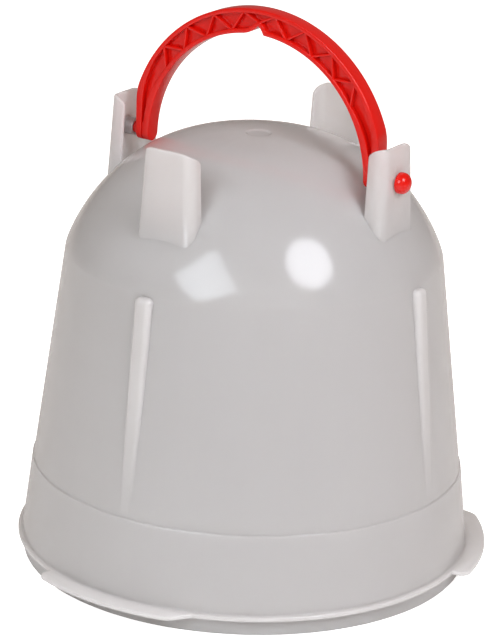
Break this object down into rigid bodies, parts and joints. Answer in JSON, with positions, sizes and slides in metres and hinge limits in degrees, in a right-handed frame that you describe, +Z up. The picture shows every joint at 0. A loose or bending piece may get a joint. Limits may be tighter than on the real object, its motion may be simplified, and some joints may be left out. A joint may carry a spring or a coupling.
{
  "type": "poultry drinker bell",
  "caption": "Siphon drinker bell in translucent plastic, open below, with raised ears, base lugs and a swinging red bail handle with a hanging notch.",
  "frame": {"origin": "centre of the footprint's box on the surface that the lip stands on; the bell's axis stands 1.8 mm towards -X and 5.7 mm towards +Y of it, because the three lugs are not symmetric", "axes": "+Z up along the bell's axis, +X along the handle's pivot axis, +Y across it"},
  "size_m": [0.3628, 0.3604, 0.4253],
  "materials": {
    "natural_hdpe": "injection moulded natural HDPE, milky and light-passing, satin",
    "red_polypropylene": "injection moulded red polypropylene, glossy"
  },
  "bodies": {
    "bell": {"bell": "natural_hdpe"},
    "handle": {"handle": "red_polypropylene", "pivot_pin_right": "red_polypropylene", "pivot_pin_left": "red_polypropylene"}
  },
  "joints": [
    {"name": "handle_swing", "type": "hinge", "parent": "bell", "child": "handle", "pos_m": [-0.0018, 0.00574, 0.3155], "axis": [1, 0, 0], "range_deg": [-79, 79]}
  ]
}
